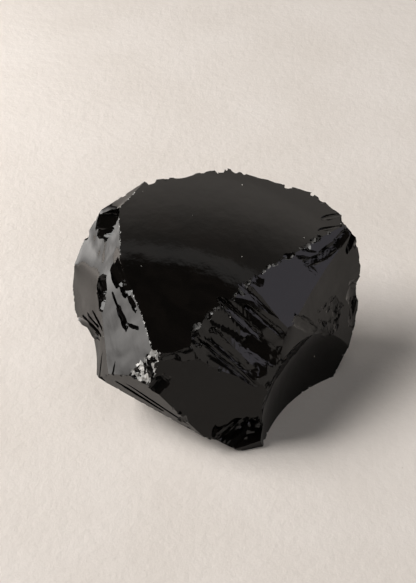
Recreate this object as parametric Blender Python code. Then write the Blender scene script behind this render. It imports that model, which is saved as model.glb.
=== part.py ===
"""Obsidian chunk: one palm-sized lump of volcanic glass, broken on every side.

The stone is carved the way it broke. A raw block is set on the ground, and one
fracture after another takes a slab or a scoop of glass off it. Each fracture is
given from the heart of the stone: the way its face looks out (heading and rise),
how far the face lies from the heart (reach), and how strongly it is dished.
Units are metres, +Z is up, and the ground is z = 0.
"""

from math import cos, radians, sin, sqrt
from typing import NamedTuple

import bmesh
import bpy
from mathutils import Matrix, Vector

MM = 0.001

# Driving dimensions
HEART = Vector((-0.3, -0.3, 24.0)) * MM
BLOCK_SIDE = 110 * MM
SHEET_SIDE = 130 * MM
SHEET_CELLS = 16
SLAB_DEPTH = 60 * MM
SCOOP_RADIUS_LIMIT = 60 * MM
SCOOP_SEGMENTS = 40
SCOOP_RINGS = 20

# Colour and finish of the glass
GLASS_COLOUR = (0.008, 0.0075, 0.007, 1.0)
GLASS_ROUGHNESS = 0.06
GLASS_IOR = 1.49


class Fracture(NamedTuple):
    """One broken face, seen from the heart of the stone.

    heading is the compass bearing of the outward normal in degrees, from +X
    towards +Y. rise is its angle above the horizon. reach is in millimetres.
    bowl is the radius of the dish in millimetres: positive is a hollow scooped
    into the stone, negative swells outwards, and 0 is flat.
    """

    name: str
    heading: float
    rise: float
    reach: float
    bowl: float = 0.0


FRACTURES = (
    # The foot that the stone lies on, and the broad mirror-like top
    Fracture("foot", 0, -90, 24),
    Fracture("crown", -80, 75, 16.5, -400),
    # Left side, from the top rim down to the ground
    Fracture("brow", 155, 52, 36, 500),
    Fracture("shoulder", -170, 35, 30.5, 400),
    Fracture("cheek", -150, 31, 28, 350),
    Fracture("jaw", -162, 14, 31.5, 350),
    Fracture("jaw_notch", -171, -21, 30.5, 15),
    Fracture("left_flank", 174, -22, 40, -300),
    Fracture("left_keel", -170, -39, 37),
    # Front, with the crushed corner and the undercut towards the ground
    Fracture("front", -86, 11, 27, 450),
    Fracture("crushed_corner", -115, 18, 32),
    Fracture("sliver", -120, -16, 32.5),
    Fracture("front_keel", -133, -48, 29.5),
    Fracture("chin", -75, -8, 34),
    # Right front: the rippled fan and the planes round it
    Fracture("fan", -65, 38, 17.5, 35),
    Fracture("fan_high", -54, 54, 18, 300),
    Fracture("ear", -48, 53, 19.5, 350),
    Fracture("temple", -33, 14, 25, 300),
    Fracture("side", -51, 32, 22.5, 200),
    Fracture("hollow", -36, -13, 24.5, 40),
    # Back, from right to left
    Fracture("right_flank", 49, 0, 38, -200),
    Fracture("right_keel", 2, -24, 40.5),
    Fracture("back_right", 48, -24, 31, 200),
    Fracture("back", 74, -11, 25, 200),
    Fracture("back_left", 103, -10, 24.5, 250),
    Fracture("back_keel", 80, -36, 21.5, 120),
    Fracture("left_back", 142, -10, 40, -200),
)


def clear_scene():
    """Remove every object that the file starts with."""
    for obj in list(bpy.data.objects):
        bpy.data.objects.remove(obj, do_unlink=True)


def new_collection(name):
    """Make a collection in the scene and return it."""
    collection = bpy.data.collections.new(name)
    bpy.context.scene.collection.children.link(collection)
    return collection


def new_object(name, bm, collection):
    """Turn a bmesh into an object in the given collection and return it."""
    mesh = bpy.data.meshes.new(name)
    bm.to_mesh(mesh)
    bm.free()
    obj = bpy.data.objects.new(name, mesh)
    collection.objects.link(obj)
    return obj


def face_frame(fracture):
    """Return the matrix that sets local +Z on the fracture's outward normal."""
    heading = radians(fracture.heading)
    rise = radians(fracture.rise)
    normal = Vector((cos(rise) * cos(heading), cos(rise) * sin(heading), sin(rise)))
    turn = normal.to_track_quat("Z", "Y").to_matrix().to_4x4()
    return Matrix.Translation(HEART + normal * fracture.reach * MM) @ turn


def dish_height(distance, bowl):
    """Height of a dished sheet at a distance from its middle, 0 when it is flat."""
    if bowl == 0:
        return 0.0
    radius = abs(bowl)
    return (radius - sqrt(radius * radius - distance * distance)) * bowl / radius


def slab_cutter(fracture, collection):
    """Make the slab of glass that lies outside one flat or gently dished face."""
    bm = bmesh.new()
    bmesh.ops.create_grid(bm, x_segments=SHEET_CELLS, y_segments=SHEET_CELLS, size=SHEET_SIDE / 2)
    for vert in bm.verts:
        vert.co.z = dish_height(vert.co.xy.length, fracture.bowl * MM)
    lid = bmesh.ops.extrude_face_region(bm, geom=bm.faces[:])
    for item in lid["geom"]:
        if isinstance(item, bmesh.types.BMVert):
            item.co.z = SLAB_DEPTH
    bmesh.ops.recalc_face_normals(bm, faces=bm.faces[:])
    cutter = new_object(fracture.name + "_slab", bm, collection)
    cutter.matrix_world = face_frame(fracture)
    return cutter


def scoop_cutter(fracture, collection):
    """Make the ball whose surface is a deeply scooped face."""
    radius = fracture.bowl * MM
    bm = bmesh.new()
    bmesh.ops.create_uvsphere(bm, u_segments=SCOOP_SEGMENTS, v_segments=SCOOP_RINGS, radius=radius)
    cutter = new_object(fracture.name + "_scoop", bm, collection)
    cutter.matrix_world = face_frame(fracture) @ Matrix.Translation((0, 0, radius))
    return cutter


def glass_material():
    """Make the dark, glossy glass."""
    material = bpy.data.materials.new("obsidian")
    material.use_nodes = True
    shader = material.node_tree.nodes["Principled BSDF"]
    shader.inputs["Base Color"].default_value = GLASS_COLOUR
    shader.inputs["Roughness"].default_value = GLASS_ROUGHNESS
    shader.inputs["Metallic"].default_value = 0.0
    shader.inputs["IOR"].default_value = GLASS_IOR
    return material


def raw_block(collection):
    """Make the block that the stone is broken out of, with the heart in its middle."""
    bm = bmesh.new()
    bmesh.ops.create_cube(bm, size=BLOCK_SIDE)
    block = new_object("obsidian_chunk", bm, collection)
    block.location = HEART
    return block


def break_off(stone, cutter):
    """Take one cutter's volume off the stone."""
    cutter.hide_render = True
    cutter.display_type = "WIRE"
    cut = stone.modifiers.new(cutter.name, "BOOLEAN")
    cut.operation = "DIFFERENCE"
    cut.solver = "EXACT"
    cut.object = cutter


def build():
    """Build the stone."""
    clear_scene()
    parts = new_collection("obsidian_chunk")
    cutters = new_collection("cutters")
    stone = raw_block(parts)
    stone.data.materials.append(glass_material())
    for fracture in FRACTURES:
        deep = 0 < fracture.bowl * MM < SCOOP_RADIUS_LIMIT
        make_cutter = scoop_cutter if deep else slab_cutter
        break_off(stone, make_cutter(fracture, cutters))


build()
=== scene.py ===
"""Looks of the obsidian chunk: its broken glass surface, floor, light and camera.

The stone is broken the way the real one was. A raw block is cut by one fracture
sheet after another; each sheet is a Geometry Nodes surface that carries the dish,
swell, ripples, hackles and steps of its own face. The softest ridges are rounded,
single scars are struck where the stone has them, random flakes come off its other
sides, and small chips come off along the ridges. Lengths named in millimetres are
turned into metres with MM.
"""

import logging
import math
from dataclasses import dataclass
from enum import Enum

import bpy
import numpy as np
from mathutils import Matrix, Vector
from mathutils.bvhtree import BVHTree
from mathutils.kdtree import KDTree


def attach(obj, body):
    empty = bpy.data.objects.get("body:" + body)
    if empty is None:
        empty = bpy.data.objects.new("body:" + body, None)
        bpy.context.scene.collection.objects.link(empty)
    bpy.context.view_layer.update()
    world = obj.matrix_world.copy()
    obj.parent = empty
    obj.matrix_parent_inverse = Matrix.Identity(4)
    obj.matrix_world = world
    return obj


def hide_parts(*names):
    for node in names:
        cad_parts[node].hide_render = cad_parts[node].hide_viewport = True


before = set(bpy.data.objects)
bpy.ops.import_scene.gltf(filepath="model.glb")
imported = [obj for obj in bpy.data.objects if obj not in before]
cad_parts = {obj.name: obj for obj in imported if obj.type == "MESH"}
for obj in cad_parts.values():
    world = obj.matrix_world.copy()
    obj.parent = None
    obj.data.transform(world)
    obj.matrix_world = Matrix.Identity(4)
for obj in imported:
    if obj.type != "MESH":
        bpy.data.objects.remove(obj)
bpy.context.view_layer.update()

Socket = bpy.types.NodeSocket
Tree = bpy.types.NodeTree
LOG = logging.getLogger("obsidian")
MM = 0.001
NODE = "obsidian_chunk"
BODY = "root"
PIECE = "obsidian_surface"

# The block that the stone is broken from, round the stone's heart, and its cutters
HEART = Vector((-0.3, -0.3, 24.0)) * MM
BLOCK_SIDE = 110 * MM
SHEET_REACH = 64 * MM
SLAB_DEPTH = 62 * MM

# Face marks: a fracture's place in its list, or one of these plus that of a run of
# chips or of a group of scars
FIRST_CHIP_MARK = 100
FIRST_SCAR_MARK = 200

# Edges sharper than this stay sharp, and seeds of two draws in a tree lie this far apart
SHARP_ANGLE = math.radians(24)
SEED_GAP = 101


# ----------------------------------------------------------------------------
# Node tree helpers
# ----------------------------------------------------------------------------


def live(sockets: object) -> list[Socket]:
    """Return the enabled sockets of one side of a node, in order."""
    return [socket for socket in sockets if socket.enabled]


class TreeWriter:
    """Writes nodes into a node tree with short calls.

    Attributes:
        tree: The tree.
    """

    def __init__(self, tree: Tree) -> None:
        """Take the tree to write into."""
        self.tree = tree

    def node(self, kind: str, **settings: object) -> bpy.types.Node:
        """Add a node.

        Args:
            kind: The node's type name.
            **settings: Properties to set on the node.

        Returns:
            The new node.
        """
        made = self.tree.nodes.new(kind)
        for key, value in settings.items():
            setattr(made, key, value)
        return made

    def feed(self, socket: Socket, value: object) -> None:
        """Link a socket to another, or set its value.

        Args:
            socket: The input socket.
            value: An output socket, or a constant.
        """
        if isinstance(value, Socket):
            self.tree.links.new(value, socket)
        else:
            socket.default_value = value

    def fill(self, made: bpy.types.Node, values: dict[str, object]) -> bpy.types.Node:
        """Feed inputs of a node by name.

        Args:
            made: The node.
            values: Sockets or constants by input name.

        Returns:
            The same node.
        """
        for name, value in values.items():
            self.feed(made.inputs[name], value)
        return made

    def call(self, kind: str, *values: object, **settings: object) -> Socket:
        """Add a node, fill its enabled inputs in order and return its first enabled output.

        Args:
            kind: The node's type name.
            *values: Sockets or constants.
            **settings: Properties to set on the node.

        Returns:
            The result socket.
        """
        made = self.node(kind, **settings)
        for socket, value in zip(live(made.inputs), values):
            self.feed(socket, value)
        return live(made.outputs)[0]

    def math(self, operation: str, *values: object) -> Socket:
        """Return the result of a math node."""
        return self.call("ShaderNodeMath", *values, operation=operation)

    def vector(self, operation: str, *values: object) -> Socket:
        """Return the result of a vector math node."""
        return self.call("ShaderNodeVectorMath", *values, operation=operation)

    def combine(self, x: object, y: object, z: object) -> Socket:
        """Return a vector made of three numbers or sockets."""
        return self.call("ShaderNodeCombineXYZ", x, y, z)

    def split(self, value: object) -> list[Socket]:
        """Return the three parts of a vector."""
        return list(self.fill(self.node("ShaderNodeSeparateXYZ"), {"Vector": value}).outputs)

    def smooth_step(self, value: object, low: object, high: object) -> Socket:
        """Return 0 below low and 1 above high, with a smooth rise between them."""
        return self.call("ShaderNodeMapRange", value, low, high, interpolation_type="SMOOTHSTEP")

    def noise(self, at: object, scale: object, detail: float = 2.0, rough: float = 0.5) -> Socket:
        """Return smooth noise around 0.5.

        Args:
            at: Where to read it.
            scale: Features per metre, or per unit of at.
            detail: Octaves.
            rough: Strength of the finer octaves.

        Returns:
            The noise value.
        """
        return self.call("ShaderNodeTexNoise", at, scale, detail, rough, noise_dimensions="3D")

    def noise_vector(self, at: object, scale: object, detail: float, rough: float = 0.5) -> Socket:
        """Return smooth noise around 0.5 in three directions.

        Args:
            at: Where to read it.
            scale: Features per metre, or per unit of at.
            detail: Octaves.
            rough: Strength of the finer octaves.

        Returns:
            The noise vector.
        """
        made = self.node("ShaderNodeTexNoise", noise_dimensions="3D")
        values = {"Vector": at, "Scale": scale, "Detail": detail, "Roughness": rough}
        return self.fill(made, values).outputs["Color"]

    def cells(self, at: object, scale: object) -> bpy.types.Node:
        """Return a Voronoi node of random cells."""
        made = self.node("ShaderNodeTexVoronoi", voronoi_dimensions="3D", feature="F1")
        return self.fill(made, {"Vector": at, "Scale": scale})


class GroupWriter(TreeWriter):
    """Writes a new node group with named inputs and outputs.

    Attributes:
        enter: The node with the group's inputs.
        leave: The node with the group's outputs.
    """

    def __init__(self, name: str, kind: str) -> None:
        """Start an empty node group.

        Args:
            name: Name of the group.
            kind: Blender's tree type, such as GeometryNodeTree.
        """
        super().__init__(bpy.data.node_groups.new(name, kind))
        self.enter = self.node("NodeGroupInput")
        self.leave = self.node("NodeGroupOutput")

    def sockets(self, kind: str, *names: str, side: str = "INPUT") -> None:
        """Add named sockets of one kind, such as Float, to the group's INPUT or OUTPUT side."""
        for name in names:
            self.tree.interface.new_socket(name, in_out=side, socket_type="NodeSocket" + kind)

    def given(self, name: str) -> Socket:
        """Return the named group input's socket."""
        return self.enter.outputs[name]


class MeshWriter(GroupWriter):
    """Writes a Geometry Nodes tree that takes a mesh and ends in a dressed one.

    Attributes:
        draws: How many random values the tree has drawn.
    """

    def __init__(self, name: str, inputs: dict[str, tuple[str, ...]]) -> None:
        """Start a tree with named inputs.

        Args:
            name: Name of the tree.
            inputs: Names of the inputs by their short socket type, such as Float.
        """
        super().__init__(name, "GeometryNodeTree")
        self.draws = 0
        self.sockets("Geometry", "Geometry")
        for kind, names in inputs.items():
            self.sockets(kind, *names)
        self.sockets("Material", "Material")
        self.sockets("Geometry", "Geometry", side="OUTPUT")

    def place(self) -> Socket:
        """Return the place of each point."""
        return self.call("GeometryNodeInputPosition")

    def stored(self, name: str, kind: str = "FLOAT_VECTOR") -> Socket:
        """Return the value of a stored attribute."""
        made = self.node("GeometryNodeInputNamedAttribute", data_type=kind)
        return self.fill(made, {"Name": name}).outputs[0]

    def move(self, geometry: Socket, **target: object) -> Socket:
        """Return the geometry with its points moved to a Position or by an Offset."""
        made = self.node("GeometryNodeSetPosition")
        return self.fill(made, {"Geometry": geometry, **target}).outputs[0]

    def random(self, kind: str, low: object, high: object) -> Socket:
        """Return a random value for each point, different at each call. The group has a Seed input.

        Args:
            kind: Blender's data type, such as FLOAT.
            low: Least value.
            high: Largest value.

        Returns:
            The random value.
        """
        self.draws += 1
        made = self.node("FunctionNodeRandomValue", data_type=kind)
        least, largest, *_ = live(made.inputs)
        self.feed(least, low)
        self.feed(largest, high)
        self.feed(made.inputs["Seed"], self.math("ADD", self.given("Seed"), float(self.draws * SEED_GAP)))
        return live(made.outputs)[0]

    def finish_mesh(self, geometry: Socket, marked: bool = True) -> Tree:
        """Mark the faces, realize the instances, set the material and end the tree.

        Args:
            geometry: The finished geometry.
            marked: Whether the faces take the mark in the group's Mark input.

        Returns:
            The finished tree.
        """
        if marked:
            mark = self.node("GeometryNodeStoreNamedAttribute", data_type="INT", domain="FACE")
            values = {"Name": "fracture", "Geometry": geometry, "Value": self.given("Mark")}
            geometry = self.fill(mark, values).outputs[0]
        real = self.call("GeometryNodeRealizeInstances", geometry)
        dressed = self.node("GeometryNodeSetMaterial")
        self.fill(dressed, {"Geometry": real, "Material": self.given("Material")})
        self.feed(self.leave.inputs[0], dressed.outputs[0])
        return self.tree


# ----------------------------------------------------------------------------
# Mesh helpers
# ----------------------------------------------------------------------------


def apply_nodes(obj: bpy.types.Object, tree: Tree, values: dict[str, object]) -> bpy.types.Mesh:
    """Run a Geometry Nodes tree on an object and return the result as a plain mesh.

    Args:
        obj: Object that carries the modifier while the tree runs.
        tree: The Geometry Nodes tree.
        values: Input values by socket name.

    Returns:
        The evaluated mesh, in the object's own space.
    """
    modifier = obj.modifiers.new(tree.name, "NODES")
    modifier.node_group = tree
    for item in tree.interface.items_tree:
        if item.in_out == "INPUT" and item.name in values:
            modifier[item.identifier] = values[item.name]
    obj.update_tag()
    graph = bpy.context.evaluated_depsgraph_get()
    mesh = bpy.data.meshes.new_from_object(obj.evaluated_get(graph))
    obj.modifiers.remove(modifier)
    return mesh


def inputs_of(part: object, lengths: tuple[str, ...], plain: tuple[str, ...]) -> dict[str, object]:
    """Return a tree's inputs that are named after fields of a part.

    Args:
        part: The part's dataclass.
        lengths: Names of fields in millimetres, which are turned into metres.
        plain: Names of fields that are taken as they are.

    Returns:
        The values by input name, such as Swell Length for swell_length.
    """
    values = {name: getattr(part, name) * MM for name in lengths}
    values |= {name: getattr(part, name) for name in plain}
    return {name.replace("_", " ").title(): value for name, value in values.items()}


def put_in_scene(name: str, mesh: bpy.types.Mesh) -> bpy.types.Object:
    """Add an object to the scene.

    Args:
        name: Name of the object.
        mesh: Its mesh.

    Returns:
        The new object.
    """
    made = bpy.data.objects.new(name, mesh)
    bpy.context.scene.collection.objects.link(made)
    return made


def point_cloud(name: str, points: np.ndarray, edges: np.ndarray | None = None) -> bpy.types.Object:
    """Add an object of loose points, with edges between them where given.

    Args:
        name: Name of the object.
        points: One row for each point.
        edges: One row of two point numbers for each edge, or None.

    Returns:
        The new object.
    """
    mesh = bpy.data.meshes.new(name)
    mesh.from_pydata(points.tolist(), [] if edges is None else edges.tolist(), [])
    return put_in_scene(name, mesh)


def point_vectors(mesh: bpy.types.Mesh, name: str, values: np.ndarray) -> None:
    """Store one vector for each point of a mesh."""
    stored = mesh.attributes.new(name, "FLOAT_VECTOR", "POINT")
    stored.data.foreach_set("vector", values.astype(np.float32).ravel())


def read_array(items: object, name: str, width: int, kind: type = np.float32) -> np.ndarray:
    """Read one property of a mesh's points, edges or faces.

    Args:
        items: The mesh's points, edges, loops, faces or attribute values.
        name: The property.
        width: How many numbers it has.
        kind: Type of the numbers.

    Returns:
        One row for each item.
    """
    values = np.empty(len(items) * width, dtype=kind)
    items.foreach_get(name, values)
    return values.reshape(-1, width)


def face_marks(mesh: bpy.types.Mesh) -> np.ndarray:
    """Return the mark of each face of the stone's mesh."""
    return read_array(mesh.attributes["fracture"].data, "value", 1, np.int32)[:, 0]


def bearing(heading: float, rise: float) -> Vector:
    """Return a direction.

    Args:
        heading: Bearing in degrees, from +X towards +Y.
        rise: Angle above the horizon in degrees.

    Returns:
        The unit vector.
    """
    turn, lift = math.radians(heading), math.radians(rise)
    flat = math.cos(lift)
    return Vector((flat * math.cos(turn), flat * math.sin(turn), math.sin(lift)))


def break_away(stone: bpy.types.Object, cutters: list[bpy.types.Object]) -> bpy.types.Object:
    """Cut the cutters out of the stone and remove them.

    Args:
        stone: The object to cut.
        cutters: Closed objects, cut one after another.

    Returns:
        A new object with the cut mesh, in world space; the old one is removed.
    """
    for cutter in cutters:
        cut = stone.modifiers.new(cutter.name, "BOOLEAN")
        cut.operation = "DIFFERENCE"
        cut.solver = "MANIFOLD"
        cut.object = cutter
    graph = bpy.context.evaluated_depsgraph_get()
    mesh = bpy.data.meshes.new_from_object(stone.evaluated_get(graph))
    mesh.transform(stone.matrix_world)
    for spare in [*cutters, stone]:
        bpy.data.objects.remove(spare, do_unlink=True)
    return put_in_scene(PIECE, mesh)


# ----------------------------------------------------------------------------
# Fracture sheets
# ----------------------------------------------------------------------------


@dataclass(frozen=True)
class Relief:
    """How the glass of one face is waved. Lengths and heights are in millimetres.

    Origins are measured on the face from its middle, to the right and upwards as
    seen face on. A cover is the noise level above which a relief shows, so a lower
    one spreads it over more of the face.

    Attributes:
        swell_length: Length of the slow swell.
        swell_height: Height of the swell.
        ripple_origin: Middle of the rings of ripples and steps.
        ripple_length: Distance between two ripples.
        ripple_height: Height of the ripples.
        ripple_cover: Cover of the ripples and steps.
        step_length: Width of a terrace along the rings.
        step_height: Height of a terrace.
        hackle_origin: Where the hackles, which are fine ridges, run out from.
        hackle_width: Width of a hackle in the middle of the face.
        hackle_height: Height of the hackles.
        hackle_cover: Cover of the hackles.
        crush_size: Size of the small facets of crushed glass.
        crush_tilt: How steeply those facets are tilted; 0 for whole glass.
    """

    swell_length: float = 22.0
    swell_height: float = 0.25
    ripple_origin: tuple[float, float] = (0.0, 0.0)
    ripple_length: float = 3.0
    ripple_height: float = 0.0
    ripple_cover: float = 0.5
    step_length: float = 6.0
    step_height: float = 0.0
    hackle_origin: tuple[float, float] = (0.0, 40.0)
    hackle_width: float = 0.6
    hackle_height: float = 0.0
    hackle_cover: float = 0.5
    crush_size: float = 0.8
    crush_tilt: float = 0.0


class Skin(Enum):
    """The kinds of broken glass on the stone."""

    MIRROR = Relief(swell_length=26.0, swell_height=0.10)
    FACET = Relief(
        swell_length=15.0,
        swell_height=0.35,
        hackle_origin=(2.0, 60.0),
        hackle_width=2.6,
        hackle_height=0.03,
        hackle_cover=0.4,
    )
    STREAKED = Relief(
        swell_length=13.0,
        swell_height=0.6,
        ripple_origin=(-50.0, 20.0),
        ripple_length=8.0,
        ripple_height=0.03,
        hackle_origin=(-52.0, 25.0),
        hackle_width=1.6,
        hackle_height=0.018,
        hackle_cover=0.5,
    )
    FAN = Relief(
        swell_length=12.0,
        swell_height=0.45,
        ripple_origin=(28.0, 24.0),
        ripple_length=4.4,
        ripple_height=0.12,
        ripple_cover=0.36,
        hackle_origin=(12.0, 36.0),
        hackle_width=0.7,
        hackle_height=0.08,
        hackle_cover=0.44,
    )
    ROUGH = Relief(
        swell_length=10.0,
        swell_height=0.9,
        ripple_origin=(-24.0, 10.0),
        ripple_length=4.2,
        ripple_height=0.06,
        ripple_cover=0.45,
        step_length=6.0,
        step_height=0.35,
        hackle_origin=(-10.0, 30.0),
        hackle_width=1.0,
        hackle_height=0.08,
        hackle_cover=0.55,
    )
    CRUSHED = Relief(swell_length=6.0, swell_height=0.6, crush_size=1.2, crush_tilt=0.8)
    FLAT = Relief(swell_height=0.0)


@dataclass(frozen=True)
class Fracture:
    """One broken face, given from the heart of the stone.

    Attributes:
        name: What the face is called.
        heading: Bearing of the outward normal in degrees, from +X towards +Y.
        rise: Angle of the normal above the horizon, in degrees.
        reach: Distance from the heart in millimetres.
        bowl: Radius of the dish in millimetres; negative swells out, 0 is flat.
        skin: The kind of broken glass on it.
        cell: Size of the sheet's mesh cells in millimetres.
    """

    name: str
    heading: float
    rise: float
    reach: float
    bowl: float = 0.0
    skin: Skin = Skin.FACET
    cell: float = 0.7

    def matrix(self) -> Matrix:
        """Place the face.

        Returns:
            The matrix that sets local +Z on the outward normal and local +Y up the face.
        """
        normal = bearing(self.heading, self.rise)
        turn = normal.to_track_quat("Z", "Y").to_matrix().to_4x4()
        return Matrix.Translation(HEART + normal * self.reach * MM) @ turn


FRACTURES = (
    Fracture("foot", 0, -90, 24, 0, Skin.FLAT, 2.0),
    Fracture("crown", -80, 75, 16.5, -400, Skin.MIRROR, 0.6),
    Fracture("brow", 155, 52, 36, 500, Skin.FACET, 0.5),
    Fracture("shoulder", -170, 35, 30.5, 400, Skin.STREAKED, 0.4),
    Fracture("cheek", -150, 31, 28, 350, Skin.STREAKED, 0.4),
    Fracture("jaw", -162, 14, 31.5, 350, Skin.STREAKED, 0.4),
    Fracture("jaw_notch", -171, -21, 30.5, 15, Skin.STREAKED, 0.4),
    Fracture("left_flank", 174, -22, 40, -300, Skin.ROUGH),
    Fracture("left_keel", -170, -39, 37, 0, Skin.FACET),
    Fracture("front", -86, 11, 27, 450, Skin.MIRROR, 0.5),
    Fracture("crushed_corner", -115, 18, 32, 0, Skin.CRUSHED, 0.2),
    Fracture("sliver", -120, -16, 32.5, 0, Skin.FACET, 0.5),
    Fracture("front_keel", -133, -48, 29.5, 0, Skin.FACET, 0.5),
    Fracture("chin", -75, -8, 34, 0, Skin.FACET, 0.5),
    Fracture("fan", -65, 38, 17.5, 35, Skin.FAN, 0.3),
    Fracture("fan_high", -54, 54, 18, 300, Skin.FACET, 0.3),
    Fracture("ear", -48, 53, 19.5, 350, Skin.FACET, 0.3),
    Fracture("temple", -33, 14, 25, 300, Skin.FACET, 0.4),
    Fracture("side", -51, 32, 22.5, 200, Skin.ROUGH, 0.4),
    Fracture("hollow", -36, -13, 24.5, 40, Skin.FACET, 0.5),
    Fracture("right_flank", 49, 0, 38, -200, Skin.ROUGH),
    Fracture("right_keel", 2, -24, 40.5, 0, Skin.FACET),
    Fracture("back_right", 48, -24, 31, 200, Skin.ROUGH),
    Fracture("back", 74, -11, 25, 200, Skin.FAN),
    Fracture("back_left", 103, -10, 24.5, 250, Skin.ROUGH),
    Fracture("back_keel", 80, -36, 21.5, 120, Skin.FACET),
    Fracture("left_back", 142, -10, 40, -200, Skin.STREAKED),
)
MARKS = {fracture.name: mark for mark, fracture in enumerate(FRACTURES)}


# How late the sheet's cells widen towards its rim, how many cells a face has over
# its half size in cells, and how many at least
STRETCH_POWER = 7.0
CELLS_PER_SIZE = 2.2
LEAST_CELLS = 8

# Rings wander from true circles, and ripples and hackles come in patches, by noise.
# Scales are in features per metre, a shift moves one noise clear of the others, and
# an edge is a patch's soft rim, in noise below and above its cover
WANDER_SCALE = 70.0
WANDER_PUSH = 11 * MM
RIPPLE_PATCH_SCALE = 80.0
RIPPLE_PATCH_SHIFT = (0.31, 0.17, 0.0)
RIPPLE_PATCH_EDGE = (0.12, 0.12)
HACKLE_PATCH_SCALE = 110.0
HACKLE_PATCH_SHIFT = (0.0, 0.83, 0.4)
HACKLE_PATCH_EDGE = (0.06, 0.10)

# Where in its width a terrace drops to the next, and how often a hackle changes in a metre
STEP_DROP = (0.86, 0.99)
HACKLE_CHANGES = 40.0


class SheetWriter(MeshWriter):
    """Writes the Geometry Nodes tree of a fracture sheet.

    The tree makes a closed slab over the face. Its underside is the broken
    surface, with cells that are fine over the face and wide beyond it. In its
    methods, flat is the place on the face and seeded is the same with the seed
    as its height, where noise is read.
    """

    def __init__(self) -> None:
        """Start the tree with its named inputs."""
        area = ("Half Width", "Half Height", "Sheet Reach", "Slab Depth", "Bowl Curvature")
        swell = ("Swell Length", "Swell Height")
        ripples = ("Ripple Length", "Ripple Height", "Ripple Cover", "Step Length", "Step Height")
        hackles = ("Hackle Spread", "Hackle Height", "Hackle Cover")
        crush = ("Crush Size", "Crush Tilt")
        inputs = {
            "Float": (*area, *swell, *ripples, *hackles, *crush, "Seed"),
            "Vector": ("Centre", "Ripple Origin", "Hackle Origin"),
            "Int": ("Cells X", "Cells Y", "Mark"),
        }
        super().__init__("fracture_sheet", inputs)

    def write(self) -> Tree:
        """Write the tree.

        Returns:
            The finished tree.
        """
        slab = self.node("GeometryNodeMeshCube")
        cells = {"Vertices X": self.given("Cells X"), "Vertices Y": self.given("Cells Y"), "Vertices Z": 2}
        self.fill(slab, {"Size": (2.0, 2.0, 2.0), **cells})
        unit_x, unit_y, unit_z = self.split(self.place())
        centre_x, centre_y, _ = self.split(self.given("Centre"))
        x = self.spread(unit_x, "Half Width", centre_x)
        y = self.spread(unit_y, "Half Height", centre_y)
        flat = self.combine(x, y, 0.0)
        seeded = self.vector("ADD", flat, self.combine(0.0, 0.0, self.given("Seed")))
        height = self.dish(flat)
        layers = [self.swell(seeded), *self.rings(flat, seeded)]
        layers += [self.hackles(flat, seeded), self.shards(seeded)]
        for layer in layers:
            height = self.math("ADD", height, layer)
        top = self.math("GREATER_THAN", unit_z, 0.0)
        lid = self.math("MULTIPLY", self.given("Slab Depth"), top)
        sheet = self.math("MULTIPLY", height, self.math("SUBTRACT", 1.0, top))
        place = self.combine(x, y, self.math("ADD", lid, sheet))
        return self.finish_mesh(self.move(slab.outputs["Mesh"], Position=place))

    def spread(self, unit: Socket, half: str, centre: Socket) -> Socket:
        """Turn a unit coordinate into one on the face: fine in the middle, stretched outside.

        Args:
            unit: The coordinate from -1 to 1.
            half: Name of the input with the face's half size.
            centre: The face's middle.

        Returns:
            The coordinate on the face.
        """
        inner = self.math("MULTIPLY", unit, self.given(half))
        outer = self.math("MULTIPLY", self.math("POWER", unit, STRETCH_POWER), self.given("Sheet Reach"))
        return self.math("ADD", centre, self.math("ADD", inner, outer))

    def patches(self, seeded: Socket, name: str, scale: float, edge: tuple[float, float]) -> Socket:
        """Return where a relief shows: 1 in its patches, 0 between them.

        Args:
            seeded: Where the noise is read.
            name: Name of the input with the relief's cover.
            scale: Patches per metre.
            edge: Width of a patch's soft edge below and above the cover.

        Returns:
            The mask.
        """
        level = self.given(name)
        low, high = self.math("SUBTRACT", level, edge[0]), self.math("ADD", level, edge[1])
        return self.smooth_step(self.noise(seeded, scale, 2.0), low, high)

    def dish(self, flat: Socket) -> Socket:
        """Return the height of the face's dish, which is the sag of a sphere.

        Args:
            flat: The place on the face.

        Returns:
            The height.
        """
        squared = self.vector("DOT_PRODUCT", flat, flat)
        bend = self.given("Bowl Curvature")
        under = self.math("SUBTRACT", 1.0, self.math("MULTIPLY", self.math("MULTIPLY", bend, bend), squared))
        root = self.math("SQRT", self.math("MAXIMUM", under, 0.0))
        return self.math("DIVIDE", self.math("MULTIPLY", bend, squared), self.math("ADD", 1.0, root))

    def swell(self, seeded: Socket) -> Socket:
        """Return the height of the slow swell."""
        wave = self.noise(seeded, self.math("DIVIDE", 1.0, self.given("Swell Length")), 2.0, 0.4)
        return self.math("MULTIPLY", self.math("SUBTRACT", wave, 0.5), self.given("Swell Height"))

    def rings(self, flat: Socket, seeded: Socket) -> tuple[Socket, ...]:
        """Return the heights of the ripples and of the terraces round the ripple origin.

        Args:
            flat: The place on the face.
            seeded: Where the noise is read.

        Returns:
            The two heights, which follow the same bent and uneven rings.
        """
        wander = self.math("SUBTRACT", self.noise(seeded, WANDER_SCALE, 2.0), 0.5)
        away = self.vector("LENGTH", self.vector("SUBTRACT", flat, self.given("Ripple Origin")))
        ring = self.math("ADD", away, self.math("MULTIPLY", wander, WANDER_PUSH))
        shifted = self.vector("ADD", seeded, RIPPLE_PATCH_SHIFT)
        patch = self.patches(shifted, "Ripple Cover", RIPPLE_PATCH_SCALE, RIPPLE_PATCH_EDGE)
        phase = self.math("DIVIDE", self.math("MULTIPLY", ring, math.tau), self.given("Ripple Length"))
        wave = self.math("MULTIPLY", self.math("SINE", phase), patch)
        part = self.math("FRACT", self.math("DIVIDE", ring, self.given("Step Length")))
        terrace = self.math("SUBTRACT", part, self.smooth_step(part, *STEP_DROP))
        terrace = self.math("MULTIPLY", terrace, self.given("Step Height"))
        wave = self.math("MULTIPLY", wave, self.given("Ripple Height"))
        return wave, self.math("MULTIPLY", terrace, patch)

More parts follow.
